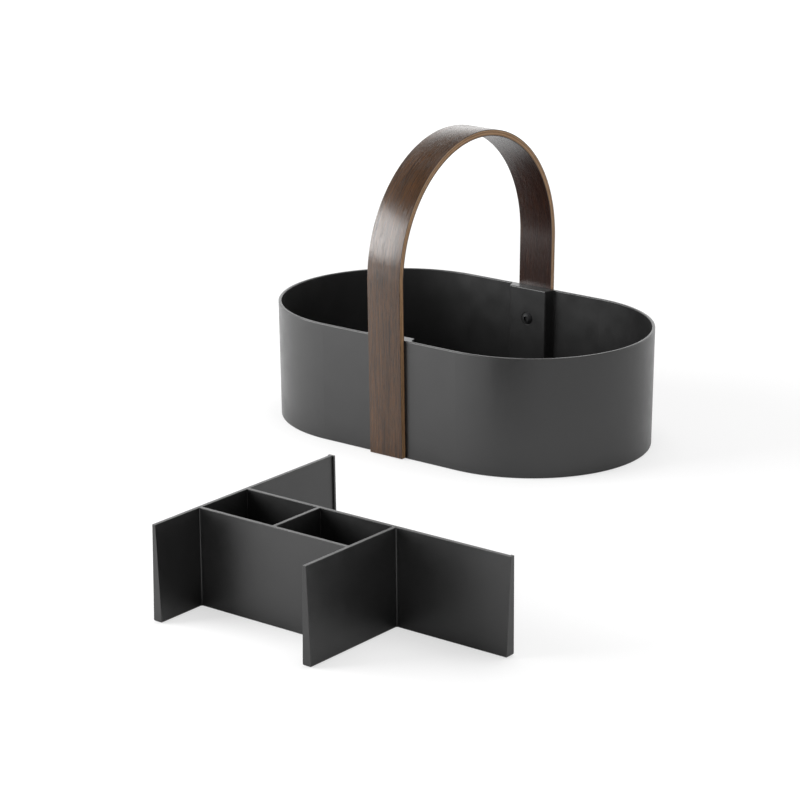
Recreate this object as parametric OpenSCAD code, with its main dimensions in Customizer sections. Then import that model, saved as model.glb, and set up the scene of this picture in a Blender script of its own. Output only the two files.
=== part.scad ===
// Tool storage caddy: an oblong moulded bin, a bent laminated strap handle held by one screw
// a side, and a loose divider that drops into the bin and here stands on the floor beside it.
// Millimetres. +Z up. Origin: centre of the bin's underside. The bin is long in X and the strap
// crosses it in the YZ plane. -Y is the front.

/* [Bin] */
// Overall length of the bin at its rim
bin_len = 333; // [300:1:380]
// Overall width of the bin at its rim
bin_w = 200; // [180:1:220]
// Height of the bin
bin_h = 97.5; // [90:0.5:130]
// How much smaller the base is than the rim, on each side
base_inset = 1.3; // [0.6:0.1:3]
// Thickness of the bin's wall
wall = 2.5; // [2:0.1:3]
// Thickness of the bin's floor
floor_t = 2.5; // [2:0.1:4]
// Rounding of the rim's two edges
rim_round = 0.8; // [0.4:0.1:1]
// Rounding of the outer edge of the base
base_round = 0.9; // [0.8:0.1:3]
// Fillet between the floor and the wall inside
floor_fillet = 2; // [1:0.1:2.2]

/* [Screw pads in the bin] */
// How far each pad stands in from the inside of the wall, at the rim
pad_in = 8.3; // [7:0.1:12]
// Width of a pad's inner face
pad_w = 36.5; // [32:0.5:50]
// How much wider a pad is at its root on the wall, on each side
pad_spread = 3; // [1:0.1:6]
// How much further in a pad stands at the floor than at the rim
pad_draft = 1; // [0.4:0.1:3]
// Rounding of a pad's two upright edges
pad_round = 1; // [0.5:0.1:2]
// Fillet where a pad's side runs into the wall
pad_fillet = 2.5; // [1:0.1:4]
// Depth of the groove outside that takes the strap, at the base
groove_d = 1; // [0.8:0.1:2]
// Gap between the strap's edge and the side of its groove
groove_side_gap = 2; // [0.5:0.1:4]
// Rounding of the groove's two upright edges
groove_round = 0.6; // [0.2:0.1:0.7]
// Thickness of the skin left in front of the pad's cored back
pad_skin = 2.5; // [1.6:0.1:3.5]
// Width of the two pockets cored out of a pad's back
core_w = 26; // [18:1:28]
// Height of the solid band around the screw, between the two pockets
core_band = 18; // [15:1:30]
// Solid height left above the upper pocket and below the lower one
core_end = 6; // [5:0.5:12]

/* [Strap handle] */
// Width of the strap
strap_w = 32; // [26:1:34]
// Thickness of the dark face veneer on each side of the strap
veneer_t = 0.6; // [0.4:0.1:1]
// Thickness of each of the four plies between the veneers
ply_t = 1; // [0.8:0.1:1.4]
// Outward lean of the strap's straight legs, in degrees
leg_lean = 1; // [0.6:0.1:2]
// Height at which the straight legs run into the round arch
arch_z = 143; // [130:0.5:190]
// Height of the strap's cut ends above the floor
strap_lift = 0.4; // [0.2:0.1:2]
// Gap between the strap and the bottom of its groove
strap_gap = 0.1; // [0.05:0.05:0.2]

/* [Screws and threaded sleeves] */
// Height of the screws above the floor
screw_z = 71.5; // [45:0.5:78]
// Diameter of the screw's shank
screw_d = 6; // [5:0.5:6]
// Length of the screw under its head
screw_len = 12; // [11.5:0.1:12.5]
// Diameter of the button head
head_d = 10.5; // [9:0.5:12]
// Height of the button head
head_h = 3.3; // [2.7:0.1:3.6]
// Width across the flats of the hexagon socket
socket_af = 4; // [3:0.5:5]
// Depth of the hexagon socket
socket_d = 2; // [1.6:0.1:2.2]
// Gap around the shank in its hole through the pad
screw_gap = 0.3; // [0.1:0.05:0.5]
// Depth of the flat seat sunk into the pad under the head
seat_d = 0.4; // [0.2:0.1:0.8]
// Gap around the head in its seat
seat_gap = 0.6; // [0.3:0.1:1]
// Outer diameter of the threaded sleeve in the strap
sleeve_d = 8; // [7.5:0.1:9]
// Gap between thread and shank, and between sleeve and strap
sleeve_gap = 0.05; // [0.03:0.01:0.1]
// Distance that the sleeve is sunk below the strap's inner face
sleeve_sink = 0.15; // [0.1:0.05:0.3]

/* [Divider] */
// Height of the divider
div_h = 71; // [50:1:85]
// Thickness of the divider's walls along their top
div_top = 2.8; // [2.4:0.1:4]
// Slope of each face of a wall, in degrees
div_draft = 1.8; // [1:0.1:3]
// Thickness of the skins of the hollow walls
div_skin = 2; // [1.8:0.1:2.4]
// Solid height above the hollow
div_crown = 31; // [26:1:45]
// Distance between the middles of the two cross walls
cross_pitch = 132; // [100:1:140]
// Distance from the long wall to the short wall in front of it
cell_depth = 50; // [34:1:60]
// Gap between the divider's ends and the inside of the bin
div_gap = 0.8; // [0.4:0.1:2]
// Further draw-in of the ends at their foot
div_foot_in = 0.4; // [0:0.1:1]
// Rounding along the divider's bottom edges
div_foot = 1.6; // [0.8:0.1:1.7]
// Rounding along the divider's top edges
div_round = 0.5; // [0.3:0.1:0.8]
// How far to the right of its seat the divider stands
park_x = 168; // [150:1:180]
// How far in front of its seat the divider stands
park_y = 389; // [330:1:430]

/* [Hidden] */
eps = 0.01;
tuck = 0.02;                             // legs start this far inside the arch's edge
round_steps = 6;

half_w = bin_w/2;
end_x = bin_len/2 - half_w;              // middle of each round end
function out_r(z) = half_w - base_inset*(1 - z/bin_h);   // outside of the wall at a height
function in_r(z) = out_r(z) - wall;                      // inside of the wall at a height
function pad_y(z) = in_r(bin_h) - pad_in - pad_draft*(1 - z/bin_h);
lean = tan(leg_lean);
function groove_y(z) = out_r(0) - groove_d + lean*z;     // bottom of the strap's groove
function strap_y(z) = groove_y(z) + strap_gap;           // inner face of the strap's leg
strap_t = 2*veneer_t + 4*ply_t;
seat_y = pad_y(screw_z) + seat_d;                        // plane that the screw head rests on
groove_half = strap_w/2 + groove_side_gap;

function arc(cx, cy, r, a0, a1, n = round_steps) =
    [for (i = [0:n]) [cx + r*cos(a0 + (a1 - a0)*i/n), cy + r*sin(a0 + (a1 - a0)*i/n)]];
function flip(p) = [for (i = [len(p) - 1:-1:0]) [-p[i][0], p[i][1]]];

// ---------------------------------------------------------------- bin
// Half of the bin's section, from the middle of the floor out to the wall
rim_z = bin_h - rim_round;
wall_outside = concat(
    arc(out_r(base_round) - base_round, base_round, base_round, -90, 0),
    arc(out_r(rim_z) - rim_round, rim_z, rim_round, 0, 90));
wall_inside = concat(
    arc(in_r(rim_z) + rim_round, rim_z, rim_round, 90, 180),
    arc(in_r(floor_t + floor_fillet) - floor_fillet, floor_t + floor_fillet, floor_fillet, 0, -90));
half_section = concat([[0, 0]], wall_outside, wall_inside, [[0, floor_t]]);
full_section = concat(wall_outside, wall_inside, flip(wall_inside), flip(wall_outside));

module shell() {
    rotate([90, 0, 90]) translate([0, 0, -end_x]) linear_extrude(2*end_x) polygon(full_section);
    for (s = [-1, 1])
        translate([s*end_x, 0, 0]) rotate([0, 0, -90*s]) rotate_extrude(angle = 180, $fn = 180)
            polygon(half_section);
}

// Outline of a pad from above: its sides spread towards the wall
pad_rim_y = in_r(bin_h) - pad_in;
pad_base_y = pad_y(0);
side_a = atan2(pad_in, pad_spread);
pad_foot_half = pad_w/2;
fillet_x = pad_foot_half
    + (pad_fillet + (pad_in - pad_fillet)*cos(side_a))/sin(side_a);
pad_half_plan = concat(
    [[0, pad_base_y - 1], [pad_foot_half - pad_round*tan(side_a/2), pad_base_y - 1]],
    arc(pad_foot_half - pad_round*tan(side_a/2), pad_rim_y + pad_round, pad_round, -90, side_a - 90),
    arc(fillet_x, in_r(bin_h) - pad_fillet, pad_fillet, 90 + side_a, 90),
    [[fillet_x, in_r(bin_h) + wall/2], [0, in_r(bin_h) + wall/2]]);

// Section of a pad: the inner face leans, its top edge is rounded like the rim
pad_section = concat(
    [[pad_y(0), floor_t/2]],
    arc(pad_y(rim_z) + rim_round, rim_z, rim_round, 180, 90),
    [[out_r(bin_h) - wall/2, bin_h], [out_r(0) - wall/2, floor_t/2]]);

module pad() {
    intersection() {
        linear_extrude(bin_h) union() {
            polygon(pad_half_plan);
            mirror([1, 0]) polygon(pad_half_plan);
        }
        translate([-groove_half - pad_spread - 40, 0, 0]) rotate([90, 0, 90])
            linear_extrude(2*(groove_half + pad_spread + 40)) polygon(pad_section);
    }
}

// The groove's cutter: flat bottom that leans with the strap, edges eased at the surface
module groove() {
    out = half_w + 5;
    translate([-groove_half, 0, 0]) rotate([90, 0, 90]) linear_extrude(2*groove_half)
        polygon([[groove_y(-2), -2], [out, -2], [out, bin_h + 2], [groove_y(bin_h + 2), bin_h + 2]]);
    for (s = [-1, 1]) groove_edge(s);
}
// Chamfer along one upright edge of the groove, following the wall's slope
module groove_edge(s) {
    z0 = -2;
    z1 = bin_h + 2;
    intersection() {
        translate([s*groove_half, 0, 0]) rotate([90, 0, 90])
            translate([0, 0, -groove_round]) linear_extrude(2*groove_round)
            polygon([[out_r(z0) - groove_round, z0], [out_r(z0) + 3, z0],
                     [out_r(z1) + 3, z1], [out_r(z1) - groove_round, z1]]);
        // half-space outside a plane at 45 degrees to the wall
        translate([s*groove_half, 0, 0]) rotate([atan2(base_inset, bin_h), 0, 0])
            translate([0, 0, z0 - 5]) linear_extrude(z1 - z0 + 10)
            polygon([[0, out_r(0) - groove_round], [s*(groove_round + 4), out_r(0) + 4],
                     [-s*6, out_r(0) + 4], [-s*6, out_r(0) - groove_round]]);
    }
}

// The two pockets cored into a pad's back, which the strap covers
module pad_core() {
    lo0 = floor_t + core_end;
    lo1 = screw_z - core_band/2;
    hi0 = screw_z + core_band/2;
    hi1 = bin_h - core_end;
    for (zz = [[lo0, lo1], [hi0, hi1]])
        translate([-core_w/2, 0, 0]) rotate([90, 0, 90]) linear_extrude(core_w)
            polygon([[pad_y(zz[0]) + pad_skin, zz[0]], [half_w + 5, zz[0]],
                     [half_w + 5, zz[1]], [pad_y(zz[1]) + pad_skin, zz[1]]]);
}

// A round bar along Y, from y0 to y1, at the screws' height
module bar(r, y0, y1) {
    translate([0, y0, screw_z]) rotate([-90, 0, 0]) cylinder(r = r, h = y1 - y0, $fn = 48);
}

module one_side(front) {
    if (front) mirror([0, 1, 0]) children(); else children();
}

module tub() {
    color("dimgray") difference() {
        union() {
            shell();
            for (front = [true, false]) one_side(front) pad();
        }
        for (front = [true, false]) one_side(front) {
            groove();
            pad_core();
            bar(screw_d/2 + screw_gap, seat_y - 1, half_w + 5);
            bar(head_d/2 + seat_gap, seat_y - seat_d - 3, seat_y);
        }
    }
}

// ---------------------------------------------------------------- strap
// Distance from the middle of the arch to the strap's inner face
arch_in = strap_y(arch_z)*cos(leg_lean);
// Everything inside one surface of the strap, given by its distance from the inner face: a
// round arch on two straight legs that lean outwards and run into it smoothly
module inside_strap(d, foot, width) {
    r = arch_in + d;
    top_y = (r - tuck)*cos(leg_lean);
    top_z = arch_z - (r - tuck)*sin(leg_lean);
    foot_y = r/cos(leg_lean) - (arch_z - foot)*lean;
    rotate([90, 0, 90]) translate([0, 0, -width/2]) {
        translate([0, arch_z, 0]) cylinder(r = r, h = width, $fn = 180);
        linear_extrude(width)
            polygon([[top_y, top_z], [foot_y, foot], [-foot_y, foot], [-top_y, top_z]]);
    }
}
// One layer of the strap, between two distances from the strap's inner face
module layer(d0, d1) {
    difference() {
        inside_strap(d1, strap_lift, strap_w);
        inside_strap(d0, strap_lift - 2, strap_w + 2);
    }
}
// A layer that the sleeves' holes pass through
module bored_layer(d0, d1) {
    difference() {
        layer(d0, d1);
        for (front = [true, false]) one_side(front)
            bar(sleeve_d/2 + sleeve_gap, strap_y(screw_z) - 2, strap_y(screw_z) + strap_t + 2);
    }
}
module strap_face_inner() { color("saddlebrown") bored_layer(0, veneer_t); }
module strap_ply_4() { color("burlywood") bored_layer(veneer_t, veneer_t + ply_t); }
module strap_ply_3() { color("tan") bored_layer(veneer_t + ply_t, veneer_t + 2*ply_t); }
module strap_ply_2() { color("burlywood") bored_layer(veneer_t + 2*ply_t, veneer_t + 3*ply_t); }
module strap_ply_1() { color("tan") layer(veneer_t + 3*ply_t, veneer_t + 4*ply_t); }
module strap_face_outer() { color("saddlebrown") layer(veneer_t + 4*ply_t, strap_t); }

// ---------------------------------------------------------------- screws and sleeves
// Button head with a hexagon socket, lying along Y with the head towards the bin's middle
dome_r = (head_h*head_h + head_d*head_d/4)/(2*head_h);
dome_steps = 8;
module screw() {
    dome_a = acos((dome_r - head_h)/dome_r);
    head = concat([[0, 0], [screw_d/2, 0], [head_d/2, 0]],
        [for (i = [1:dome_steps - 1]) let (a = dome_a*(1 - i/dome_steps))
            [dome_r*sin(a), dome_r*cos(a) - (dome_r - head_h)]],
        [[0, head_h]]);
    tip = 0.8;
    shank = [[0, 1], [screw_d/2, 1], [screw_d/2, tip - screw_len],
             [screw_d/2 - tip, -screw_len], [0, -screw_len]];
    translate([0, seat_y, screw_z]) rotate([90, 0, 0]) difference() {
        union() {
            rotate_extrude($fn = 64) polygon(head);
            rotate_extrude($fn = 64) polygon(shank);
        }
        translate([0, 0, head_h - socket_d])
            cylinder(r = socket_af/2/cos(30), h = socket_d + 1, $fn = 6);
    }
}
// Threaded sleeve sunk into the strap from its inner face
sleeve_y0 = strap_y(screw_z) + sleeve_sink;
sleeve_len = veneer_t + 3*ply_t - 2*sleeve_sink;
module sleeve() {
    difference() {
        bar(sleeve_d/2, sleeve_y0, sleeve_y0 + sleeve_len);
        bar(screw_d/2 + sleeve_gap, sleeve_y0 - 1, sleeve_y0 + sleeve_len + 1);
    }
}
module screw_front() { color("black") one_side(true) screw(); }
module screw_rear() { color("black") one_side(false) screw(); }
module sleeve_front() { color("gold") one_side(true) sleeve(); }
module sleeve_rear() { color("gold") one_side(false) sleeve(); }

// ---------------------------------------------------------------- divider
div_slope = tan(div_draft);
function div_half(z) = div_top/2 + (div_h - z)*div_slope;    // half thickness at a height
// Reach of a wall's end at a height above the bin's floor, so that it clears the bin
function reach(z) = in_r(floor_t + z) - div_gap - div_foot_in*(1 - z/div_h);

// Section across a wall: rounded along the top and along the foot
wall_right = concat(
    arc(div_half(div_foot) - div_foot, div_foot, div_foot, 270, 360, 3),
    arc(div_half(div_h - div_round) - div_round, div_h - div_round, div_round, 0, 90, 3));
wall_across = concat(wall_right, flip(wall_right));
// Section across the hollow inside a wall
hollow_h = div_h - div_crown;
hollow_across = [
    [div_half(0) - div_skin, -1], [div_half(hollow_h) - div_skin, hollow_h],
    [-div_half(hollow_h) + div_skin, hollow_h], [-div_half(0) + div_skin, -1]];

// A wall's length profile from one end to the other, as seen from its side. An end that meets
// the bin follows the bin's wall, and an end that runs into another wall is square.
function free_end(base) = concat(
    arc(base + reach(div_foot) - div_foot, div_foot, div_foot, 270, 360, 3),
    arc(base + reach(div_h - div_round) - div_round, div_h - div_round, div_round, 0, 90, 3));
function hollow_end(base) = [[base + reach(0) - div_skin, -1],
                             [base + reach(hollow_h) - div_skin, hollow_h]];

// Wall from start to a free end along +X; base is where that end's reach is counted from
module wall_to_bin(start, base, hollow) {
    intersection() {
        rotate([90, 0, 90]) translate([0, 0, start - eps])
            linear_extrude(base + half_w + 20 - start) polygon(hollow ? hollow_across : wall_across);
        rotate([90, 0, 0]) translate([0, 0, -20]) linear_extrude(40)
            polygon(concat([[start, hollow ? -1 : 0]],
                hollow ? hollow_end(base) : free_end(base),
                [[start, hollow ? hollow_h : div_h]]));
    }
}
// Plain wall between two other walls, along +X
module wall_between(x0, x1, hollow) {
    rotate([90, 0, 90]) translate([0, 0, x0]) linear_extrude(x1 - x0)
        polygon(hollow ? hollow_across : wall_across);
}

cross_x = cross_pitch/2;
module divider_walls(hollow) {
    // long wall down the middle, from the left cross wall to the round end
    translate([-cross_x, 0, 0]) wall_to_bin(0, cross_x + end_x, hollow);
    // left cross wall, from side to side
    translate([-cross_x, 0, 0]) rotate([0, 0, 90]) wall_to_bin(0, 0, hollow);
    translate([-cross_x, 0, 0]) rotate([0, 0, -90]) wall_to_bin(0, 0, hollow);
    // right cross wall, from the long wall to the front
    translate([cross_x, 0, 0]) rotate([0, 0, -90]) wall_to_bin(0, 0, hollow);
    // short wall in front of the long one, between the cross walls
    translate([0, -cell_depth, 0]) wall_between(-cross_x, cross_x, hollow);
    // partition between the two closed cells
    rotate([0, 0, -90]) wall_between(0, cell_depth, hollow);
}
module divider() {
    color("darkslategray") translate([park_x, -park_y, 0]) difference() {
        divider_walls(false);
        divider_walls(true);
    }
}

tub();
strap_face_outer();
strap_ply_1();
strap_ply_2();
strap_ply_3();
strap_ply_4();
strap_face_inner();
screw_front();
screw_rear();
sleeve_front();
sleeve_rear();
divider();
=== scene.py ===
# %% [markdown]
# # A tool storage caddy
# The object is an oblong moulded bin, a bent wooden strap that carries it, and a loose divider
# that has been lifted out and stands on the floor in front. The solid model already holds every
# piece at its real size, so this lesson loads it and gives each piece its looks. Lengths are in
# metres, +Z is up, and the origin is the middle of the bin's underside.

# %% Load the solid model and keep its box
import math

import bmesh
import bpy
from mathutils import Matrix, Vector


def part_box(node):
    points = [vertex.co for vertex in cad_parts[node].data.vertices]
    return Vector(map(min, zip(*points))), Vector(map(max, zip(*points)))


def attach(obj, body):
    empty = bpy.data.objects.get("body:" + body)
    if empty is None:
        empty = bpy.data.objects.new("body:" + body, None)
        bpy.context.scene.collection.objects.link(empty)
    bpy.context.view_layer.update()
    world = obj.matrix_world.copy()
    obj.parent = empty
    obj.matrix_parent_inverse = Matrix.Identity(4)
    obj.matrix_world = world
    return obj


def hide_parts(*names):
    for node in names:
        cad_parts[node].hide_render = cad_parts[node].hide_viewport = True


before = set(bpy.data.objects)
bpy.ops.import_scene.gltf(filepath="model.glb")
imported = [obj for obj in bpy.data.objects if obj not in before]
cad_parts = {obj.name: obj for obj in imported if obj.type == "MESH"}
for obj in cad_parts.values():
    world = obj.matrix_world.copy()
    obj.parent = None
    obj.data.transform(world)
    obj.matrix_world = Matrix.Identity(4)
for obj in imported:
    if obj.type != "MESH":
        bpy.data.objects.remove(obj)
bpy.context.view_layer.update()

MM = 0.001

# %% [markdown]
# ## The camera
# The view is from far away through a long lens, so that upright edges stay nearly parallel. A
# camera could be turned by hand until the view looks right, but here its turn, rise and distance
# are written down, so the view can be repeated and changed one number at a time.

# %% Camera
AZIMUTH, ELEVATION, ROLL = map(math.radians, (38.05, 17.05, -0.23))
TARGET = Vector((-0.08486, 0.02375, 0.0))
DISTANCE = 2.53391
SENSOR = 36.0                       # millimetres
FRAME_WIDTH, FOCAL = 800, 2992.59   # both in pixels of the rendered frame
LENS = FOCAL / FRAME_WIDTH * SENSOR

back = Vector((math.sin(AZIMUTH) * math.cos(ELEVATION),
               -math.cos(AZIMUTH) * math.cos(ELEVATION), math.sin(ELEVATION)))
right = Vector((math.cos(AZIMUTH), math.sin(AZIMUTH), 0.0))
up = back.cross(right)
turned_right = right * math.cos(ROLL) + up * math.sin(ROLL)
turned_up = up * math.cos(ROLL) - right * math.sin(ROLL)
axes = Matrix((turned_right, turned_up, back)).transposed()

camera_data = bpy.data.cameras.new("camera")
camera_data.lens, camera_data.sensor_width = LENS, SENSOR
camera_data.clip_start, camera_data.clip_end = 0.05, 50
camera = bpy.data.objects.new("camera", camera_data)
camera.matrix_world = Matrix.Translation(TARGET + back * DISTANCE) @ axes.to_4x4()
bpy.context.scene.collection.objects.link(camera)
bpy.context.scene.camera = camera
bpy.context.scene.view_settings.view_transform = "Standard"
print("camera lens", round(LENS, 1), "mm at", round(DISTANCE, 3), "m")

# %% [markdown]
# ## Light and floor
# The studio is a white room with a large soft box, low on the left in front of the object. It
# gives the satin wood its pale band and throws soft shadows to the right. Several small lamps
# would do the same with harder edges. A dimmer box hangs overhead. The room itself is a world
# that is white near the horizon, brightest behind the object where a lit backdrop would stand,
# and dimmer overhead, as a studio with white walls and a high ceiling is. The camera sees it as
# plain white. The floor is pale, and a little of its own light is added where the camera or a
# reflection looks at it, so the ground reads as paper white while the shadows stay.

# %% Node helpers
def new_node(tree, kind, inputs=None, **settings):
    """Adds a node, sets its options, and fills or links the named or numbered inputs."""
    node = tree.nodes.new(kind)
    for key, value in settings.items():
        setattr(node, key, value)
    for key, value in (inputs or {}).items():
        socket = node.inputs[key]
        if isinstance(value, bpy.types.NodeSocket):
            tree.links.new(value, socket)
        else:
            socket.default_value = value
    return node


def link(tree, source, target):
    tree.links.new(source, target)


def math_node(tree, operation, a, b=0.0):
    return new_node(tree, "ShaderNodeMath", {0: a, 1: b}, operation=operation).outputs[0]


def straight_view(tree, rays):
    """1 where the camera looks, also through glass, and 0 for all other light."""
    return math_node(tree, "MAXIMUM", rays.outputs["Is Camera Ray"],
                     rays.outputs["Is Transmission Ray"])


def map_range(tree, value, low, high, to_low, to_high, **settings):
    node = new_node(tree, "ShaderNodeMapRange",
                    {"Value": value, "From Min": low, "From Max": high,
                     "To Min": to_low, "To Max": to_high}, **settings)
    return node.outputs["Result"]


# %% The room
WALL_LIGHT, BACKDROP_LIGHT, CEILING_LIGHT = 1.1, 2.0, 0.22
BACKDROP_WAY = (-0.45, 0.893, 0.0)          # from the object to the middle of the backdrop
BACKDROP_EDGE, BACKDROP_FULL = -0.3, 0.6    # cosines of the turn away from that way
WALL_TOP, CEILING_FROM = 0.30, 0.72         # sines of the rise above the horizon

world = bpy.data.worlds.new("white_room")
bpy.context.scene.world = world
world.use_nodes = True
sky = world.node_tree
sky.nodes.clear()
heading = new_node(sky, "ShaderNodeTexCoord").outputs["Generated"]
height = new_node(sky, "ShaderNodeSeparateXYZ", {0: heading}).outputs["Z"]
behind = new_node(sky, "ShaderNodeVectorMath", {0: heading, 1: BACKDROP_WAY},
                  operation="DOT_PRODUCT").outputs["Value"]
wall_light = map_range(sky, behind, BACKDROP_EDGE, BACKDROP_FULL, WALL_LIGHT, BACKDROP_LIGHT,
                       interpolation_type="SMOOTHSTEP")
room_light = map_range(sky, height, WALL_TOP, CEILING_FROM, wall_light, CEILING_LIGHT,
                       interpolation_type="SMOOTHSTEP")
rays = new_node(sky, "ShaderNodeLightPath")
shows = straight_view(sky, rays)
room = new_node(sky, "ShaderNodeBackground", {"Color": (1, 1, 1, 1), "Strength": room_light})
paper = new_node(sky, "ShaderNodeBackground", {"Color": (1, 1, 1, 1), "Strength": 1.0})
mixed = new_node(sky, "ShaderNodeMixShader", {0: shows, 1: room.outputs[0], 2: paper.outputs[0]})
new_node(sky, "ShaderNodeOutputWorld", {"Surface": mixed.outputs[0]})


# %% The soft boxes
def soft_box(name, turn, rise, distance, size, radiance, aim):
    """A rectangle lamp seen from aim at a turn from the front and a rise above the floor."""
    turn, rise = math.radians(turn), math.radians(rise)
    way = Vector((math.sin(turn) * math.cos(rise), -math.cos(turn) * math.cos(rise),
                  math.sin(rise)))
    data = bpy.data.lights.new(name, "AREA")
    data.shape, data.size, data.size_y = "RECTANGLE", size[0], size[1]
    data.energy = 4 * radiance * size[0] * size[1]    # watts are spread over four times the area
    lamp = bpy.data.objects.new(name, data)
    lamp.location = Vector(aim) + way * distance
    lamp.rotation_euler = way.to_track_quat("Z", "Y").to_euler()
    lamp.visible_camera = False
    bpy.context.scene.collection.objects.link(lamp)


MIDDLE = (0.03, -0.15, 0.12)      # between the bin and the divider
soft_box("soft_box_left", turn=-47, rise=18.6, distance=1.7, size=(1.30, 0.97), radiance=8.9,
         aim=MIDDLE)
soft_box("soft_box_top", turn=150, rise=78, distance=2.0, size=(1.6, 1.2), radiance=3.0,
         aim=MIDDLE)
print("room walls", WALL_LIGHT, "backdrop", BACKDROP_LIGHT, "ceiling", CEILING_LIGHT)

# %% The floor
FLOOR_HALF, FLOOR_DROP = 6.0, 0.3 * MM
floor_mesh = bpy.data.meshes.new("floor")
corners = [(FLOOR_HALF * x, FLOOR_HALF * y, 0) for x, y in ((-1, -1), (1, -1), (1, 1), (-1, 1))]
floor_mesh.from_pydata(corners, [], [(0, 1, 2, 3)])
floor = bpy.data.objects.new("floor", floor_mesh)
bpy.context.scene.collection.objects.link(floor)
floor.location.z = -FLOOR_DROP

FLOOR_COLOUR, FLOOR_LIFT = 0.85, 0.02    # for bounced light and for reflections
SEEN_COLOUR, SEEN_LIFT = 0.36, 0.60      # as the camera sees it, with its shadows paler
NEAR_FLOOR, FAR_FLOOR = 0.65, 1.40       # metres: from here the lift grows, up to there
FAR_LIFT = 1.0                           # beyond the lamps the floor stays white
floor_paint = bpy.data.materials.new("floor_white")
floor_paint.use_nodes = True
floor_paint.cycles.emission_sampling = "NONE"
tree = floor_paint.node_tree
tree.nodes.clear()
rays = new_node(tree, "ShaderNodeLightPath")
seen = straight_view(tree, rays)
shade = map_range(tree, seen, 0.0, 1.0, FLOOR_COLOUR, SEEN_COLOUR)
mirrored = math_node(tree, "MULTIPLY", rays.outputs["Is Glossy Ray"], FLOOR_LIFT)
here = new_node(tree, "ShaderNodeTexCoord").outputs["Object"]
away = new_node(tree, "ShaderNodeVectorMath", {0: here}, operation="LENGTH").outputs["Value"]
far = map_range(tree, away, NEAR_FLOOR, FAR_FLOOR, SEEN_LIFT, FAR_LIFT)
lift = math_node(tree, "ADD", mirrored, math_node(tree, "MULTIPLY", seen, far))
matt = new_node(tree, "ShaderNodeBsdfDiffuse", {"Color": shade})
own = new_node(tree, "ShaderNodeEmission", {"Color": (1, 1, 1, 1), "Strength": lift})
both = new_node(tree, "ShaderNodeAddShader", {0: matt.outputs[0], 1: own.outputs[0]})
new_node(tree, "ShaderNodeOutputMaterial", {"Surface": both.outputs[0]})
floor_mesh.materials.append(floor_paint)
print("floor", 2 * FLOOR_HALF, "m wide, colour", FLOOR_COLOUR)

# %% [markdown]
# ## Moulded plastic
# The bin and the divider are moulded in charcoal plastic with a very fine eroded texture. It is
# satin: it has no sharp reflections, but it turns pale at its edges where light grazes it. A
# picture texture would need a flat map of a rounded bin, so solid noise on object coordinates
# is used instead. One shader group holds the texture, and both materials use it.

# %% Shader group helper
def shader_group(name, inputs, outputs):
    """An empty shader group with named sockets: its tree, its input and its output node."""
    tree = bpy.data.node_groups.new(name, "ShaderNodeTree")
    for label, kind, value in inputs:
        socket = tree.interface.new_socket(name=label, in_out="INPUT", socket_type=kind)
        if value is not None:
            socket.default_value = value
    for label, kind in outputs:
        tree.interface.new_socket(name=label, in_out="OUTPUT", socket_type=kind)
    return tree, tree.nodes.new("NodeGroupInput"), tree.nodes.new("NodeGroupOutput")


# %% Fine moulded texture
FLOAT, VECTOR = "NodeSocketFloat", "NodeSocketVector"
TONE_SCALE, SHINE_SCALE = 9.0, 70.0      # per metre: slow changes of tone, quicker ones of shine
moulded, given, result = shader_group(
    "moulded_texture",
    [("Place", VECTOR, None), ("Grain Size", FLOAT, 0.0005)],
    [("Height", FLOAT), ("Tone", FLOAT), ("Shine", FLOAT)])
grain_scale = math_node(moulded, "DIVIDE", 1.0, given.outputs["Grain Size"])
grain = new_node(moulded, "ShaderNodeTexNoise",
                 {"Vector": given.outputs["Place"], "Scale": grain_scale, "Detail": 2.0})
cloud = new_node(moulded, "ShaderNodeTexNoise",
                 {"Vector": given.outputs["Place"], "Scale": TONE_SCALE, "Detail": 3.0})
flow = new_node(moulded, "ShaderNodeTexNoise",
                {"Vector": given.outputs["Place"], "Scale": SHINE_SCALE, "Detail": 4.0})
link(moulded, grain.outputs["Fac"], result.inputs["Height"])
link(moulded, cloud.outputs["Fac"], result.inputs["Tone"])
link(moulded, flow.outputs["Fac"], result.inputs["Shine"])


def blank_material(name):
    material = bpy.data.materials.new(name)
    material.use_nodes = True
    tree = material.node_tree
    shader = tree.nodes["Principled BSDF"]
    return material, tree, shader


def mix_colour(tree, factor, a, b):
    node = new_node(tree, "ShaderNodeMix", data_type="RGBA")
    for index, value in ((0, factor), (6, a), (7, b)):
        if isinstance(value, bpy.types.NodeSocket):
            tree.links.new(value, node.inputs[index])
        else:
            node.inputs[index].default_value = value
    return node.outputs[2]


PLASTIC_GRAIN, PLASTIC_RELIEF, PLASTIC_IOR = 0.45 * MM, 0.06 * MM, 1.56


def plastic(name, dark, light, rough):
    """Satin plastic: slow changes from dark to light, an uneven shine and a fine grain."""
    material, tree, shader = blank_material(name)
    place = new_node(tree, "ShaderNodeTexCoord").outputs["Object"]
    group = new_node(tree, "ShaderNodeGroup", node_tree=moulded)
    link(tree, place, group.inputs["Place"])
    group.inputs["Grain Size"].default_value = PLASTIC_GRAIN
    tone = map_range(tree, group.outputs["Tone"], 0.35, 0.65, 0, 1)
    link(tree, mix_colour(tree, tone, dark, light), shader.inputs["Base Color"])
    shine = map_range(tree, group.outputs["Shine"], 0.3, 0.7, rough - 0.03, rough + 0.03)
    link(tree, shine, shader.inputs["Roughness"])
    bump = new_node(tree, "ShaderNodeBump",
                    {"Strength": 0.25, "Distance": PLASTIC_RELIEF,
                     "Height": group.outputs["Height"]})
    link(tree, bump.outputs["Normal"], shader.inputs["Normal"])
    shader.inputs["IOR"].default_value = PLASTIC_IOR
    return material


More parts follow.
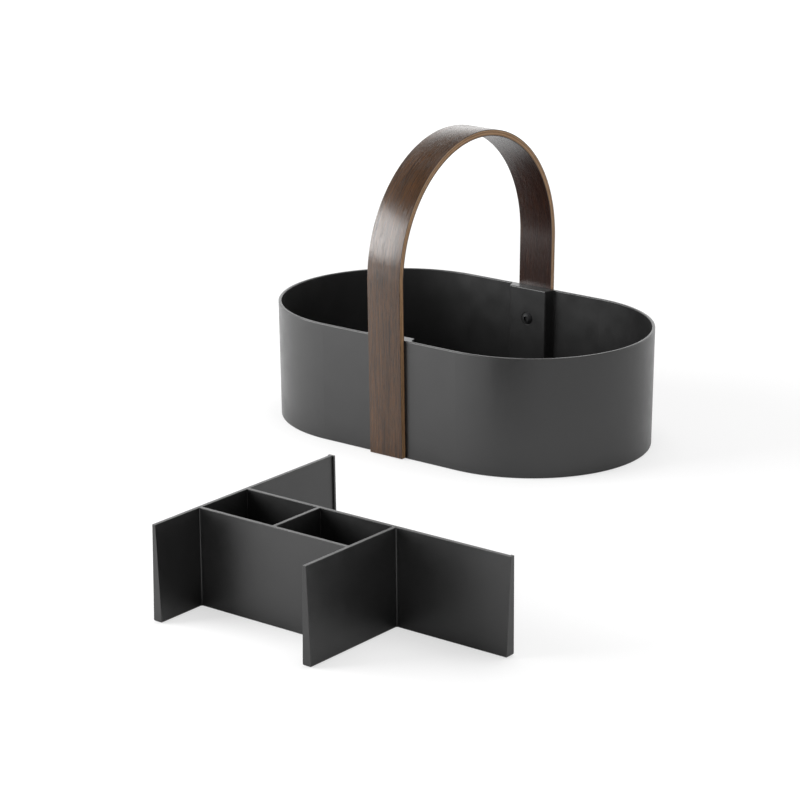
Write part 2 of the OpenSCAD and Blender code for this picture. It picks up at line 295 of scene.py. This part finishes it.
bin_plastic = plastic("charcoal_plastic", (0.0070, 0.0070, 0.0071, 1),
                      (0.0095, 0.0095, 0.0096, 1), rough=0.345)
divider_plastic = plastic("divider_plastic", (0.0050, 0.0050, 0.0051, 1),
                          (0.0070, 0.0070, 0.0071, 1), rough=0.37)
print("plastics:", bin_plastic.name, divider_plastic.name)

# %% [markdown]
# ## Wood
# The strap is glued up from thin sheets that were bent together: a dark veneer on each face and
# light plies between, which show along the cut edges. The grain runs along the strap and bends
# with it. A pattern on plain object coordinates would not bend, so every strap sheet carries an
# attribute called wood_place: how far along the strap, how far across, and how deep in the wood
# a point lies. The shader group reads it as if the strap were still a flat board.

# %% Straight grain
wood, given, result = shader_group(
    "straight_grain",
    [("Place", VECTOR, None), ("Fibre Width", FLOAT, 0.0006), ("Fibre Length", FLOAT, 0.06),
     ("Shift", FLOAT, 0.0), ("Half Width", FLOAT, 0.016)],
    [("Fibres", FLOAT), ("Bands", FLOAT), ("Warm", FLOAT), ("Pores", FLOAT), ("Edge", FLOAT)])
parts = new_node(wood, "ShaderNodeSeparateXYZ", {0: given.outputs["Place"]})
shifted = math_node(wood, "ADD", parts.outputs["Z"], given.outputs["Shift"])


def grain_noise(length_factor, width_factor, detail, rough=0.55):
    """Noise stretched along the wood: scaled by the fibre's length and by its width."""
    along = math_node(wood, "DIVIDE", parts.outputs["X"], given.outputs["Fibre Length"])
    along = math_node(wood, "DIVIDE", along, length_factor)
    across = math_node(wood, "DIVIDE", parts.outputs["Y"], given.outputs["Fibre Width"])
    across = math_node(wood, "DIVIDE", across, width_factor)
    deep = math_node(wood, "DIVIDE", shifted, given.outputs["Fibre Width"])
    deep = math_node(wood, "DIVIDE", deep, width_factor)
    place = new_node(wood, "ShaderNodeCombineXYZ", {0: along, 1: across, 2: deep})
    noise = new_node(wood, "ShaderNodeTexNoise",
                     {"Vector": place.outputs[0], "Scale": 1.0, "Detail": detail,
                      "Roughness": rough})
    return noise.outputs["Fac"]


link(wood, grain_noise(1.0, 1.0, detail=3.0, rough=0.65), result.inputs["Fibres"])
link(wood, grain_noise(4.0, 8.0, detail=2.0), result.inputs["Bands"])
warm_noise = grain_noise(1.3, 1.7, detail=2.0)
link(wood, map_range(wood, warm_noise, 0.55, 0.72, 0.0, 0.6), result.inputs["Warm"])
pore_noise = grain_noise(0.30, 0.45, detail=1.0, rough=0.4)
link(wood, map_range(wood, pore_noise, 0.58, 0.68, 0.0, 1.0), result.inputs["Pores"])
from_middle = math_node(wood, "ABSOLUTE", parts.outputs["Y"])
to_edge = math_node(wood, "SUBTRACT", given.outputs["Half Width"], from_middle)
EDGE_FULL, EDGE_END = 0.04 * MM, 0.12 * MM    # how far a stained cut edge reaches in
link(wood, map_range(wood, to_edge, EDGE_FULL, EDGE_END, 1.0, 0.0), result.inputs["Edge"])


# %% The woods
FIBRE_SHARE, BAND_SHARE = 0.65, 0.35     # what fine fibres and broad bands give to the tone
WOOD_RELIEF, SHINE_SPREAD = 0.08 * MM, 0.04


def wood_material(name, dark, middle, warm, pore, rough, shift, fibre, pores=0.7, edge=0.0,
                  ior=1.44):
    """Streaked wood: dark to middle along the fibres, warm streaks, dark pores and cut edges.

    A fibre is given as its width in millimetres and its length in metres.
    """
    material, tree, shader = blank_material(name)
    place = new_node(tree, "ShaderNodeAttribute", attribute_name="wood_place").outputs["Vector"]
    group = new_node(tree, "ShaderNodeGroup", node_tree=wood)
    link(tree, place, group.inputs["Place"])
    group.inputs["Fibre Width"].default_value = fibre[0] * MM
    group.inputs["Fibre Length"].default_value = fibre[1]
    group.inputs["Shift"].default_value = shift
    fibres = map_range(tree, group.outputs["Fibres"], 0.40, 0.60, 0, 1)
    bands = map_range(tree, group.outputs["Bands"], 0.35, 0.65, 0, 1)
    share = math_node(tree, "ADD", math_node(tree, "MULTIPLY", fibres, FIBRE_SHARE),
                      math_node(tree, "MULTIPLY", bands, BAND_SHARE))
    ground = mix_colour(tree, share, dark, middle)
    ground = mix_colour(tree, group.outputs["Warm"], ground, warm)
    speck = math_node(tree, "MULTIPLY", group.outputs["Pores"], pores)
    ground = mix_colour(tree, speck, ground, pore)
    stain = math_node(tree, "MULTIPLY", group.outputs["Edge"], edge)
    link(tree, mix_colour(tree, stain, ground, pore), shader.inputs["Base Color"])
    shine = map_range(tree, group.outputs["Fibres"], 0.3, 0.7,
                      rough + SHINE_SPREAD, rough - SHINE_SPREAD)
    link(tree, shine, shader.inputs["Roughness"])
    shader.inputs["IOR"].default_value = ior
    relief = math_node(tree, "SUBTRACT", math_node(tree, "MULTIPLY", fibres, 0.5),
                       group.outputs["Pores"])
    bump = new_node(tree, "ShaderNodeBump",
                    {"Strength": 0.35, "Distance": WOOD_RELIEF, "Height": relief})
    link(tree, bump.outputs["Normal"], shader.inputs["Normal"])
    return material


outer_veneer = wood_material(
    "outer_veneer", dark=(0.014, 0.0065, 0.0030, 1), middle=(0.061, 0.0290, 0.0118, 1),
    warm=(0.092, 0.0368, 0.013, 1), pore=(0.006, 0.0035, 0.003, 1), rough=0.23, shift=0.0,
    fibre=(0.42, 0.026), pores=0.85, edge=0.5, ior=1.47)
# The inner veneer's colours are about half the outer veneer's. That extra darkness is painted
# shade on the strap's inner face.
inner_veneer_painted_shade = wood_material(
    "inner_veneer_painted_shade", dark=(0.012, 0.0055, 0.0045, 1), middle=(0.028, 0.0140, 0.0105, 1),
    warm=(0.045, 0.019, 0.010, 1), pore=(0.004, 0.003, 0.0025, 1), rough=0.27, shift=0.37,
    fibre=(0.42, 0.020), edge=0.5)
PLY_COLOURS = [  # dark, middle and warm, from the outer ply inwards: pale and brown in turn
    ((0.22, 0.127, 0.060, 1), (0.34, 0.214, 0.118, 1), (0.30, 0.158, 0.062, 1)),
    ((0.15, 0.082, 0.038, 1), (0.23, 0.135, 0.070, 1), (0.21, 0.102, 0.040, 1)),
    ((0.23, 0.131, 0.062, 1), (0.35, 0.220, 0.120, 1), (0.30, 0.158, 0.062, 1)),
    ((0.16, 0.086, 0.040, 1), (0.24, 0.140, 0.072, 1), (0.21, 0.102, 0.040, 1))]
PLY_SHIFT = 0.013                        # each ply is cut from another depth of the wood
ply_wood = [wood_material(f"light_ply_{i + 1}", *colours, pore=(0.06, 0.030, 0.012, 1), rough=0.5,
                          shift=PLY_SHIFT * i, fibre=(0.35, 0.030), pores=0.5, ior=1.3)
            for i, colours in enumerate(PLY_COLOURS)]
print("woods:", outer_veneer.name, inner_veneer_painted_shade.name, [m.name for m in ply_wood])

# %% [markdown]
# ## The strap's sheets
# Each sheet follows the same line: a straight leg that leans out by one degree, half a circle,
# and the other leg. Bending a flat board with a modifier would stretch it, so a geometry-nodes
# tree sweeps a rounded rectangle along the line instead, and stores wood_place on the way.

# %% The line that a sheet follows
ARCH_Z = 143.0 * MM            # middle of the arch
LEG_LEAN = math.radians(1.0)
FOOT_Z = 0.4 * MM              # the strap's cut ends stop just above the floor
STRAP_W = 32.0 * MM
INNER_FOOT = 97.8 * MM         # inner face at floor level: groove bottom plus its gap
ARCH_IN = (INNER_FOOT + math.tan(LEG_LEAN) * ARCH_Z) * math.cos(LEG_LEAN)
ARC_STEPS, LEG_STEPS = 120, 14


def strap_line(depth):
    """Points from the front foot over the arch to the rear, at a depth from the inner face."""
    r = ARCH_IN + depth
    points = []
    top = Vector((0, -r * math.cos(LEG_LEAN), ARCH_Z - r * math.sin(LEG_LEAN)))
    foot_y = r / math.cos(LEG_LEAN) - (ARCH_Z - FOOT_Z) * math.tan(LEG_LEAN)
    foot = Vector((0, -foot_y, FOOT_Z))
    points += [foot.lerp(top, i / LEG_STEPS) for i in range(LEG_STEPS)]
    start, sweep = math.pi + LEG_LEAN, math.pi + 2 * LEG_LEAN
    points += [Vector((0, r * math.cos(start - sweep * i / ARC_STEPS),
                       ARCH_Z + r * math.sin(start - sweep * i / ARC_STEPS)))
               for i in range(ARC_STEPS + 1)]
    points += [Vector((0, -p.y, p.z)) for p in reversed(points[:LEG_STEPS])]
    return points


print("strap line", len(strap_line(0)), "points, arch radius", round(ARCH_IN / MM, 2), "mm")

# %% Geometry group helper
GEOMETRY, MATERIAL = "NodeSocketGeometry", "NodeSocketMaterial"


def geometry_group(name, source, inputs, product):
    """A geometry tree that turns a source into a product, with named inputs for its sizes.

    Returns the tree, each input's identifier by its name, and the input and output nodes.
    """
    tree = bpy.data.node_groups.new(name, "GeometryNodeTree")
    tree.interface.new_socket(name=source, in_out="INPUT", socket_type=GEOMETRY)
    identifiers = {}
    for label, kind, value in inputs:
        socket = tree.interface.new_socket(name=label, in_out="INPUT", socket_type=kind)
        if value is not None:
            socket.default_value = value
        identifiers[label] = socket.identifier
    tree.interface.new_socket(name=product, in_out="OUTPUT", socket_type=GEOMETRY)
    return tree, identifiers, tree.nodes.new("NodeGroupInput"), tree.nodes.new("NodeGroupOutput")


# %% The sweeping tree
CORNER_POINTS = 3                # on each rounded corner of a sheet's section
sweep, sweep_inputs, given, result = geometry_group(
    "sweep_sheet", "Line",
    [("Width", FLOAT, STRAP_W), ("Thickness", FLOAT, 1 * MM), ("Edge Round", FLOAT, 0.1 * MM),
     ("Depth", FLOAT, 0.0), ("Finish", MATERIAL, None)], "Sheet")
line = new_node(sweep, "GeometryNodeMeshToCurve", {"Mesh": given.outputs["Line"]})
along = new_node(sweep, "GeometryNodeSplineParameter")
keep_along = sweep.nodes.new("GeometryNodeCaptureAttribute")
keep_along.capture_items.new("FLOAT", "along")
link(sweep, line.outputs["Curve"], keep_along.inputs["Geometry"])
link(sweep, along.outputs["Length"], keep_along.inputs["along"])
section = new_node(sweep, "GeometryNodeCurvePrimitiveQuadrilateral",
                   {"Width": given.outputs["Width"], "Height": given.outputs["Thickness"]})
rounded = new_node(sweep, "GeometryNodeFilletCurve",
                   {"Curve": section.outputs["Curve"], "Radius": given.outputs["Edge Round"],
                    "Count": CORNER_POINTS}, mode="POLY")
keep_across = sweep.nodes.new("GeometryNodeCaptureAttribute")
keep_across.capture_items.new("VECTOR", "across")
link(sweep, rounded.outputs["Curve"], keep_across.inputs["Geometry"])
section_place = new_node(sweep, "GeometryNodeInputPosition").outputs[0]
link(sweep, section_place, keep_across.inputs["across"])
body = new_node(sweep, "GeometryNodeCurveToMesh",
                {"Curve": keep_along.outputs["Geometry"],
                 "Profile Curve": keep_across.outputs["Geometry"], "Fill Caps": True})
split = new_node(sweep, "ShaderNodeSeparateXYZ", {0: keep_across.outputs["across"]})
deep = math_node(sweep, "ADD", split.outputs["Y"], given.outputs["Depth"])
place = new_node(sweep, "ShaderNodeCombineXYZ",
                 {0: keep_along.outputs["along"], 1: split.outputs["X"], 2: deep})
stored = new_node(sweep, "GeometryNodeStoreNamedAttribute",
                  {"Geometry": body.outputs["Mesh"], "Name": "wood_place"},
                  data_type="FLOAT_VECTOR", domain="POINT")
link(sweep, place.outputs[0], stored.inputs["Value"])
real = new_node(sweep, "GeometryNodeRealizeInstances", {"Geometry": stored.outputs["Geometry"]})
finish = new_node(sweep, "GeometryNodeSetMaterial",
                  {"Geometry": real.outputs["Geometry"], "Material": given.outputs["Finish"]})
link(sweep, finish.outputs["Geometry"], result.inputs["Sheet"])


# %% From a live modifier to a plain mesh
SAME_POINT = 0.0001 * MM         # points closer than this are one point


def smooth_shade(mesh, sharp_degrees):
    """Smooth shading, with creases where faces meet at more than an angle."""
    mesh.shade_smooth()
    mesh.set_sharp_from_angle(angle=math.radians(sharp_degrees))


def to_plain_mesh(host, name):
    """Turns an object with a live modifier into a plain mesh object and removes the first."""
    bpy.context.view_layer.update()
    depsgraph = bpy.context.evaluated_depsgraph_get()
    mesh = bpy.data.meshes.new_from_object(host.evaluated_get(depsgraph))
    mesh.name = name
    bpy.data.objects.remove(host)
    piece = bpy.data.objects.new(name, mesh)
    bpy.context.scene.collection.objects.link(piece)
    return piece


def face_outwards(mesh):
    """Merges doubled points, then turns every face outwards."""
    work = bmesh.new()
    work.from_mesh(mesh)
    bmesh.ops.remove_doubles(work, verts=work.verts, dist=SAME_POINT)
    bmesh.ops.recalc_face_normals(work, faces=work.faces)
    work.to_mesh(mesh)
    work.free()


# %% Make the six sheets
VENEER_T, PLY_T = 0.6 * MM, 1.0 * MM
VENEER_ROUND, PLY_ROUND = 0.12 * MM, 0.06 * MM
SHEET_CREASE = 40                # degrees
SHEETS = [("strap_inner_veneer", "strap_face_inner", 0.0, VENEER_T, VENEER_ROUND, inner_veneer_painted_shade)]
for number, word in ((4, "fourth"), (3, "third"), (2, "second"), (1, "first")):
    SHEETS.append((f"strap_{word}_ply", f"strap_ply_{number}", VENEER_T + (4 - number) * PLY_T,
                   PLY_T, PLY_ROUND, ply_wood[number - 1]))
SHEETS.append(("strap_outer_veneer", "strap_face_outer", VENEER_T + 4 * PLY_T,
               VENEER_T, VENEER_ROUND, outer_veneer))


def strap_sheet(name, node, depth, thickness, edge_round, finish):
    """One sheet of the strap, in place of its solid; its depth is from the strap's inner face."""
    points = strap_line(depth + thickness / 2)
    edges = [(i, i + 1) for i in range(len(points) - 1)]
    host_mesh = bpy.data.meshes.new(name + "_line")
    host_mesh.from_pydata([tuple(p) for p in points], edges, [])
    host = bpy.data.objects.new(name + "_line", host_mesh)
    bpy.context.scene.collection.objects.link(host)
    modifier = host.modifiers.new("sweep", "NODES")
    modifier.node_group = sweep
    for label, value in (("Width", STRAP_W), ("Thickness", thickness), ("Edge Round", edge_round),
                         ("Depth", depth + thickness / 2), ("Finish", finish)):
        modifier[sweep_inputs[label]] = value
    piece = to_plain_mesh(host, name)
    face_outwards(piece.data)
    smooth_shade(piece.data, SHEET_CREASE)
    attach(piece, "caddy")
    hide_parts(node)
    return piece


for name, node, *rest in SHEETS:
    piece = strap_sheet(name, node, *rest)
    lo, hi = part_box(node)
    print(piece.name, len(piece.data.polygons), "faces",
          [round(v / MM, 2) for v in piece.dimensions], "CAD", [round(v / MM, 2) for v in hi - lo])

# %% [markdown]
# ## The divider
# The divider is one moulding: upright walls that are thinner along the top, so that it leaves its
# mould, with small fillets where walls meet and a hollow underneath. Two of its free ends carry a
# narrow lip. Boxes joined by a boolean would leave torn shading at the corners. Here the outline
# of the walls is drawn at every height, always with the same number of points, and the outlines
# are joined by quads. A level is a height and how far the faces stand back there, so roundings
# and the hollow are levels too. Its sizes are in millimetres until the mesh is made.

# %% Sizes of the divider
DIV_H, DIV_TOP, DIV_SLOPE = 71.0, 2.8, math.tan(math.radians(1.8))
DIV_SKIN, DIV_HOLLOW = 2.0, 40.0                     # the hollow leaves this skin, and ends here
TOP_ROUND, FOOT_ROUND = 0.22, 1.6
INNER_FILLET, OUTER_CORNER, LEAST_CORNER = 0.6, 0.25, 0.1
EASE, LIP_EASE = 0.35, 0.1                           # straight bit beside each rounded corner
CROSS, CELL, END = 66.0, 50.0, 66.5                  # cross walls at +-x, cell depth, right end
BIN_IN, BIN_TAPER, BIN_H, BIN_FLOOR = 97.5, 1.3, 97.5, 2.5    # the bin it is sized to stand in
FIT_GAP, FOOT_IN = 0.8, 0.4
PARKED = Vector((168.0, -389.0, 0.0))                # where it stands beside the bin


def half_wall(z):
    return DIV_TOP / 2 + (DIV_H - z) * DIV_SLOPE


def wall_reach(z):
    """How far a free end reaches: the bin's inner wall at that height, less the gap."""
    bin_wall = BIN_IN - BIN_TAPER * (1 - (z + BIN_FLOOR) / BIN_H)
    return bin_wall - FIT_GAP - FOOT_IN * (1 - z / DIV_H)


print("wall thickness", DIV_TOP, "to", round(2 * half_wall(0), 2), "mm,",
      "reach", round(wall_reach(0), 2))

# %% Outlines
# Each edge has the axis it lies across, its wall's middle line, whether it is a wall's face or a
# free end, which way it faces, and what a lip adds there.
SIDE_LIP, BACK_LIP, LIP_DEEP, LIP_CORNER = 1.1, 1.2, 2.0, 0.25
BACK_CUT = 1.9                                       # the left wall's back end stops short
CORNER_STEPS = 4
OUTER = [("y", 0, "end", -1, 0), ("x", -CROSS, "wall", 1, 0), ("y", -CELL, "wall", -1, 0),
         ("x", CROSS, "wall", -1, 0), ("y", 0, "end", -1, 0), ("x", CROSS, "wall", 1, 0),
         ("y", 0, "wall", -1, 0), ("x", END, "end", 1, 0), ("y", 0, "wall", 1, SIDE_LIP),
         ("x", END, "end", 1, -LIP_DEEP), ("y", 0, "wall", 1, 0),
         ("x", -CROSS, "wall", 1, 0), ("y", -BACK_CUT, "end", 1, -LIP_DEEP),
         ("x", -CROSS, "wall", 1, BACK_LIP), ("y", -BACK_CUT, "end", 1, 0),
         ("x", -CROSS, "wall", -1, BACK_LIP), ("y", -BACK_CUT, "end", 1, -LIP_DEEP),
         ("x", -CROSS, "wall", -1, 0)]
CELLS = [[("x", a, "wall", 1, 0), ("y", 0, "wall", -1, 0), ("x", b, "wall", -1, 0),
          ("y", -CELL, "wall", 1, 0)] for a, b in ((-CROSS, 0), (0, CROSS))]


def outline(edges, z, half, reach, inset):
    """The walls' outline at one level; an inset shrinks outer corners and widens inner ones."""
    lines = [base + sign * ((half if kind == "wall" else reach) + more)
             for _, base, kind, sign, more in edges]
    corners = []
    for i, (axis, *_) in enumerate(edges):
        before, here = lines[i - 1], lines[i]
        corners.append(Vector((before, here)) if axis == "y" else Vector((here, before)))
    points = []
    for i, corner in enumerate(corners):
        came = (corner - corners[i - 1]).normalized()
        goes = (corners[(i + 1) % len(corners)] - corner).normalized()
        on_lip = edges[i - 1][4] or edges[i][4]
        convex = came.cross(goes) > 0
        r = max(OUTER_CORNER - inset, LEAST_CORNER) if convex else INNER_FILLET + inset
        r, ease = (min(r, LIP_CORNER), LIP_EASE) if on_lip else (r, EASE)
        centre = corner - came * r + goes * r
        points.append(corner - came * (r + ease))
        for step in range(CORNER_STEPS + 1):
            a = math.pi / 2 * step / CORNER_STEPS
            points.append(centre - goes * r * math.cos(a) + came * r * math.sin(a))
        points.append(corner + goes * (r + ease))
    return [Vector((p.x, p.y, z)) for p in points]


# %% Levels from the top down, and back up inside the hollow
TOP_ARC, FOOT_ARC = DIV_H - TOP_ROUND, FOOT_ROUND    # where the roundings start
TOP_STEPS, FOOT_STEPS = 4, 6
TOP_INNER = 0.2                                      # a ring inside the flat top keeps it flat


def level(z, wall_z, inset):
    """A height, half a wall and the reach there, and what the corners stand back."""
    corner_inset = inset if inset < DIV_SKIN else 0.0
    return z, half_wall(wall_z) - inset, wall_reach(wall_z) - inset, corner_inset


levels = [level(DIV_H, TOP_ARC, TOP_ROUND + TOP_INNER)]
for step in range(TOP_STEPS + 1):
    a = math.pi / 2 * (1 - step / TOP_STEPS)
    levels.append(level(TOP_ARC + TOP_ROUND * math.sin(a), TOP_ARC,
                        TOP_ROUND * (1 - math.cos(a))))
for z in (TOP_ARC - 0.4, FOOT_ARC + 0.5):            # close rings keep the long faces flat
    levels.append(level(z, z, 0))
for step in range(FOOT_STEPS + 1):
    a = math.pi / 2 * step / FOOT_STEPS
    levels.append(level(FOOT_ARC - FOOT_ROUND * math.sin(a), FOOT_ARC,
                        FOOT_ROUND * (1 - math.cos(a))))
for z, inset in ((0.0, DIV_SKIN), (0.3, DIV_SKIN), (DIV_HOLLOW - 0.3, DIV_SKIN),
                 (DIV_HOLLOW, DIV_SKIN + 0.1)):      # up the hollow, to its ceiling
    levels.append(level(z, z, inset))
print(len(levels), "levels")


# %% Join the levels
DIVIDER_CREASE = 50              # degrees


def join_rings(work, rings):
    """Fills the bands between closed rings of as many points each with quads."""
    for upper, lower in zip(rings, rings[1:]):
        for i in range(len(upper)):
            j = (i + 1) % len(upper)
            work.faces.new((upper[i], lower[i], lower[j], upper[j]))


def moulded_divider():
    """The whole moulding, and how many of its edges are open; none should be."""
    work = bmesh.new()
    rims = {0: [], len(levels) - 1: []}
    for edges in [OUTER] + CELLS:
        loops = [[work.verts.new((PARKED + p) * MM) for p in outline(edges, *where)]
                 for where in levels]
        join_rings(work, loops)
        for k in rims:
            loop = loops[k]
            rims[k] += [work.edges.get((loop[i], loop[(i + 1) % len(loop)]))
                        for i in range(len(loop))]
    for rim in rims.values():
        bmesh.ops.triangle_fill(work, use_beauty=True, use_dissolve=False, edges=rim)
    bmesh.ops.recalc_face_normals(work, faces=work.faces)
    mesh = bpy.data.meshes.new("divider_moulding")
    work.to_mesh(mesh)
    open_edges = sum(1 for e in work.edges if len(e.link_faces) != 2)
    work.free()
    smooth_shade(mesh, DIVIDER_CREASE)
    mesh.materials.append(divider_plastic)
    piece = bpy.data.objects.new("divider_moulding", mesh)
    bpy.context.scene.collection.objects.link(piece)
    return piece, open_edges


divider, open_edges = moulded_divider()
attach(divider, "divider")
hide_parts("divider")
lo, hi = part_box("divider")
print("divider", len(divider.data.polygons), "faces, open edges", open_edges,
      [round(v / MM, 2) for v in divider.dimensions], "CAD", [round(v / MM, 2) for v in hi - lo])

# %% [markdown]
# ## The screws
# Two black button-head screws hold the bin to the strap. Each has a low dome with a hexagon
# socket, and a thread that runs into a brass sleeve in the strap, out of sight. The dome and the
# thread are turned shapes, so one screw is made from rings of points whose first ring lies on a
# hexagon. Both screws are the same, so a geometry-nodes tree places the one mesh on both sides.

# %% Sizes of a screw
HEAD_R, HEAD_H, SOCKET_AF, SOCKET_D = 5.25, 3.3, 4.0, 2.0     # millimetres
SCREW_R, SCREW_LEN, PITCH, THREAD_D = 3.0, 12.0, 1.0, 0.5
DOME_R = (HEAD_H ** 2 + HEAD_R ** 2) / (2 * HEAD_H)
EDGE_BREAK, UNDER_RIM = 0.12, 0.16
SPOKES = 72


def dome_z(r):
    return math.sqrt(max(DOME_R ** 2 - r ** 2, 0)) - (DOME_R - HEAD_H)


def hexagon(angle, across):
    """How far a hexagon's side is from its middle, at an angle."""
    turn = (angle + math.pi / 6) % (math.pi / 3) - math.pi / 6
    return across / 2 / math.cos(turn)


# %% One screw, head upwards along Z
def screw_mesh():
    """Rings of radius and height: the socket, the dome over it, then the rim and the thread."""
    angles = [2 * math.pi * i / SPOKES for i in range(SPOKES)]
    hexes = [hexagon(a, SOCKET_AF) for a in angles]
    socket_floor = HEAD_H - SOCKET_D
    rings = [[(EDGE_BREAK, socket_floor)] * SPOKES,
             [(h - EDGE_BREAK, socket_floor) for h in hexes],
             [(h, socket_floor + EDGE_BREAK) for h in hexes],
             [(h, dome_z(h) - 0.25) for h in hexes],
             [(h + 0.10, dome_z(h + 0.10) - 0.03) for h in hexes]]
    for share in (0.12, 0.3, 0.5, 0.7, 0.85, 0.95):           # from the socket to the rim
        dome = [h * (1 - share) + HEAD_R * share for h in hexes]
        rings.append([(r - 0.02, dome_z(r)) for r in dome])
    turned = [(HEAD_R, UNDER_RIM), (HEAD_R - EDGE_BREAK, 0.0), (SCREW_R + 0.05, 0.0)]
    for turn in range(int((SCREW_LEN - 1.6) / PITCH)):
        z = -0.6 - turn * PITCH
        turned += [(SCREW_R, z), (SCREW_R - THREAD_D, z - PITCH / 2)]
    turned += [(SCREW_R - 0.4, -SCREW_LEN + 0.6), (SCREW_R - 0.9, -SCREW_LEN)]
    rings += [[point] * SPOKES for point in turned]
    work = bmesh.new()
    made = [[work.verts.new((r * math.cos(a), r * math.sin(a), z))
             for (r, z), a in zip(ring, angles)] for ring in rings]
    join_rings(work, made)
    work.faces.new(made[0])
    work.faces.new(list(reversed(made[-1])))
    bmesh.ops.scale(work, vec=(MM, MM, MM), verts=work.verts)
    bmesh.ops.recalc_face_normals(work, faces=work.faces)
    mesh = bpy.data.meshes.new("button_screw")
    work.to_mesh(mesh)
    work.free()
    return mesh


one_screw = screw_mesh()
print("one screw", len(one_screw.polygons), "faces")

# %% Blackened steel and brass
PATCH_SCALE, METAL_RELIEF, METAL_SPREAD = 380.0, 0.03 * MM, 0.05
speckle, given, result = shader_group(
    "blackened_steel", [("Place", VECTOR, None), ("Grain Size", FLOAT, 0.0004)],
    [("Tone", FLOAT), ("Height", FLOAT)])
fine = new_node(speckle, "ShaderNodeTexNoise",
                {"Vector": given.outputs["Place"], "Detail": 3.0,
                 "Scale": math_node(speckle, "DIVIDE", 1.0, given.outputs["Grain Size"])})
patch = new_node(speckle, "ShaderNodeTexNoise",
                 {"Vector": given.outputs["Place"], "Scale": PATCH_SCALE, "Detail": 2.0})
link(speckle, patch.outputs["Fac"], result.inputs["Tone"])
link(speckle, fine.outputs["Fac"], result.inputs["Height"])


def metal(name, dark, light, rough, metallic, grain, ior=1.5):
    """Finely speckled metal or a black coat on it; the grain's size is in millimetres."""
    material, tree, shader = blank_material(name)
    place = new_node(tree, "ShaderNodeTexCoord").outputs["Object"]
    group = new_node(tree, "ShaderNodeGroup", node_tree=speckle)
    link(tree, place, group.inputs["Place"])
    group.inputs["Grain Size"].default_value = grain * MM
    tone = map_range(tree, group.outputs["Tone"], 0.3, 0.7, 0, 1)
    link(tree, mix_colour(tree, tone, dark, light), shader.inputs["Base Color"])
    shine = map_range(tree, group.outputs["Tone"], 0.3, 0.7,
                      rough + METAL_SPREAD, rough - METAL_SPREAD)
    link(tree, shine, shader.inputs["Roughness"])
    shader.inputs["Metallic"].default_value = metallic
    shader.inputs["IOR"].default_value = ior
    bump = new_node(tree, "ShaderNodeBump",
                    {"Strength": 0.3, "Distance": METAL_RELIEF,
                     "Height": group.outputs["Height"]})
    link(tree, bump.outputs["Normal"], shader.inputs["Normal"])
    return material


black_steel = metal("blackened_steel", (0.006, 0.006, 0.0065, 1), (0.012, 0.012, 0.013, 1),
                    rough=0.60, metallic=0.0, grain=0.25, ior=1.32)
brass = metal("turned_brass", (0.55, 0.36, 0.12, 1), (0.68, 0.47, 0.18, 1),
              rough=0.32, metallic=1.0, grain=0.3)
print("metals:", black_steel.name, brass.name)

# %% Place the screws on both sides
pair, pair_inputs, given, result = geometry_group(
    "screw_pair", "Screw",
    [("Seat Distance", FLOAT, 0.088), ("Height", FLOAT, 0.0715), ("Finish", MATERIAL, None)],
    "Screws")
both_sides = new_node(pair, "GeometryNodeJoinGeometry")
for side in (1, -1):
    across = math_node(pair, "MULTIPLY", given.outputs["Seat Distance"], float(side))
    spot = new_node(pair, "ShaderNodeCombineXYZ", {1: across, 2: given.outputs["Height"]})
    point = new_node(pair, "GeometryNodePoints", {"Position": spot.outputs[0]})
    placed = new_node(pair, "GeometryNodeInstanceOnPoints",
                      {"Points": point.outputs[0], "Instance": given.outputs["Screw"],
                       "Rotation": (math.radians(90 * side), 0.0, 0.0)})
    link(pair, placed.outputs["Instances"], both_sides.inputs[0])
real = new_node(pair, "GeometryNodeRealizeInstances", {"Geometry": both_sides.outputs[0]})
finish = new_node(pair, "GeometryNodeSetMaterial",
                  {"Geometry": real.outputs["Geometry"], "Material": given.outputs["Finish"]})
link(pair, finish.outputs["Geometry"], result.inputs["Screws"])

SCREW_CREASE = 35                # degrees
host = bpy.data.objects.new("screw_host", one_screw)
bpy.context.scene.collection.objects.link(host)
modifier = host.modifiers.new("pair", "NODES")
modifier.node_group = pair
lo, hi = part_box("screw_rear")
for label, value in (("Seat Distance", lo.y + HEAD_H * MM), ("Height", (lo.z + hi.z) / 2),
                     ("Finish", black_steel)):
    modifier[pair_inputs[label]] = value
screws = to_plain_mesh(host, "button_screws")
smooth_shade(screws.data, SCREW_CREASE)
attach(screws, "caddy")
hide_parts("screw_front", "screw_rear")
ys = [v.co.y for v in screws.data.vertices]
print(screws.name, len(screws.data.polygons), "faces, y", round(min(ys) / MM, 2),
      "to", round(max(ys) / MM, 2))

# %% [markdown]
# ## The bin and the sleeves
# The bin's solid already has its drafted walls, rounded rim, grooves and screw pads, so its mesh
# is kept as it is and only painted. The sleeves are turned brass, hidden in the strap.

# %% Paint the solids that stay
def paint(node, material):
    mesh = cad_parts[node].data
    mesh.materials.clear()
    mesh.materials.append(material)
    print(node, "painted", material.name)


paint("tub", bin_plastic)
paint("sleeve_front", brass)
paint("sleeve_rear", brass)
